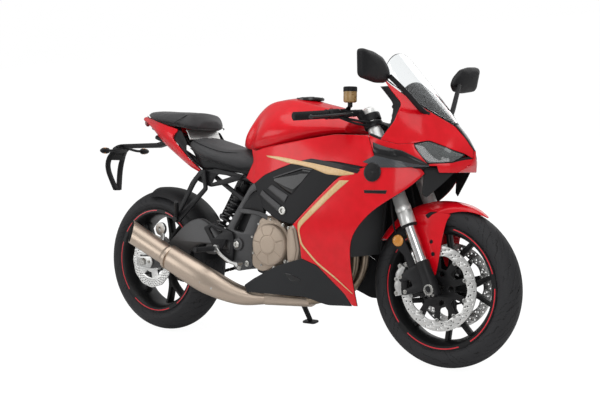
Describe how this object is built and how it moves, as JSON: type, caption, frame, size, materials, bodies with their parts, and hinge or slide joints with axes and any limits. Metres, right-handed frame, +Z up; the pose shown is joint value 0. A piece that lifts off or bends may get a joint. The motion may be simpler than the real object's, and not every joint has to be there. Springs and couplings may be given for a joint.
{
  "type": "sports motorcycle",
  "caption": "Full-fairing sports motorcycle parked on its side stand, with turning wheels, steering, a folding stand and a hinged filler cap.",
  "frame": {"origin": "on the road, under the middle of the parked machine's box", "axes": "+X forward, +Y to the rider's left, +Z up; the machine leans to +Y on its stand"},
  "size_m": [2.135, 0.8569, 1.1973],
  "materials": {
    "tyre": "moulded rubber",
    "black_wheel": "satin black powder coat",
    "disc_steel": "ground steel",
    "chain_steel": "oiled steel",
    "bare_steel": "turned steel",
    "fork_silver": "satin anodised",
    "fork_chrome": "hard chrome",
    "cast_black": "painted casting",
    "cast_grey": "painted casting",
    "caliper_silver": "machined",
    "bronze_cover": "bronze paint",
    "engine_grey": "painted casting",
    "exhaust_steel": "brushed stainless",
    "red_paint": "gloss red lacquer",
    "red_tank": "gloss red lacquer",
    "black_plastic": "moulded black",
    "grey_plastic": "moulded dark grey",
    "grip_rubber": "ribbed rubber",
    "seat_cover": "black vinyl",
    "clear_screen": "clear acrylic",
    "lamp_lens": "smoked lens",
    "spring_black": "black powder coat",
    "reservoir_cup": "translucent",
    "radiator_core": "black core"
  },
  "bodies": {
    "chassis": {"main_frame": "cast_grey", "subframe": "cast_black", "engine_block": "engine_grey", "engine_covers": "bronze_cover", "radiator": "radiator_core", "exhaust_headers": "exhaust_steel", "silencer": "exhaust_steel", "swingarm": "cast_grey", "rear_shock": "cast_black", "shock_spring": "spring_black", "rear_hugger": "black_plastic", "drive_chain": "chain_steel", "rear_axle": "bare_steel", "rear_caliper": "caliper_silver", "fuel_tank": "red_tank", "tank_side_panel": "red_paint", "frame_cover": "black_plastic", "side_fairing": "red_paint", "belly_pan": "grey_plastic", "nose_fairing": "red_paint", "headlamps": "lamp_lens", "windscreen": "clear_screen", "fairing_stay": "cast_black", "instrument_panel": "black_plastic", "mirrors": "black_plastic", "rider_seat": "seat_cover", "pillion_seat": "seat_cover", "tail_cowl": "red_paint", "tail_undertray": "black_plastic", "plate_hanger": "black_plastic", "rider_footrests": "cast_black", "pillion_footrests": "cast_black", "seat_side_covers": "cast_black", "axle_adjusters": "caliper_silver"},
    "steering": {"fork_outer_tubes": "fork_silver", "fork_inner_tubes": "fork_chrome", "fork_feet": "cast_black", "fork_yokes": "cast_black", "handlebars": "cast_black", "grips": "grip_rubber", "bar_controls": "black_plastic", "brake_reservoir": "reservoir_cup", "front_mudguard": "red_paint", "front_calipers": "caliper_silver", "front_axle": "bare_steel", "brake_hoses": "grip_rubber"},
    "front_wheel": {"front_tyre": "tyre", "front_rim": "black_wheel", "front_discs": "disc_steel", "front_disc_carriers": "black_wheel"},
    "rear_wheel": {"rear_tyre": "tyre", "rear_rim": "black_wheel", "rear_disc": "disc_steel", "rear_sprocket": "bare_steel"},
    "stand": {"side_stand": "cast_black"},
    "filler_cap": {"fuel_cap": "cast_black"}
  },
  "joints": [
    {"name": "steering_turn", "type": "hinge", "parent": "chassis", "child": "steering", "pos_m": [0.74249, -0.14098, 0.28515], "axis": [-0.3987, 0.1592, 0.9031], "range_deg": [-27, 27]},
    {"name": "front_wheel_spin", "type": "hinge", "parent": "steering", "child": "front_wheel", "pos_m": [0.77, -0.13891, 0.29693], "axis": [0, 0.9848, -0.1736], "continuous": true},
    {"name": "rear_wheel_spin", "type": "hinge", "parent": "chassis", "child": "rear_wheel", "pos_m": [-0.665, -0.1363, 0.3117], "axis": [0, 0.9848, -0.1736], "continuous": true},
    {"name": "side_stand_fold", "type": "hinge", "parent": "chassis", "child": "stand", "pos_m": [-0.12, 0.00905, 0.26069], "axis": [0.0458, 0.9261, 0.3745], "range_deg": [0, 88.2]},
    {"name": "filler_cap_open", "type": "hinge", "parent": "chassis", "child": "filler_cap", "pos_m": [0.187, -0.01483, 1.00058], "axis": [0, 0.9848, -0.1736], "range_deg": [0, 100]}
  ]
}
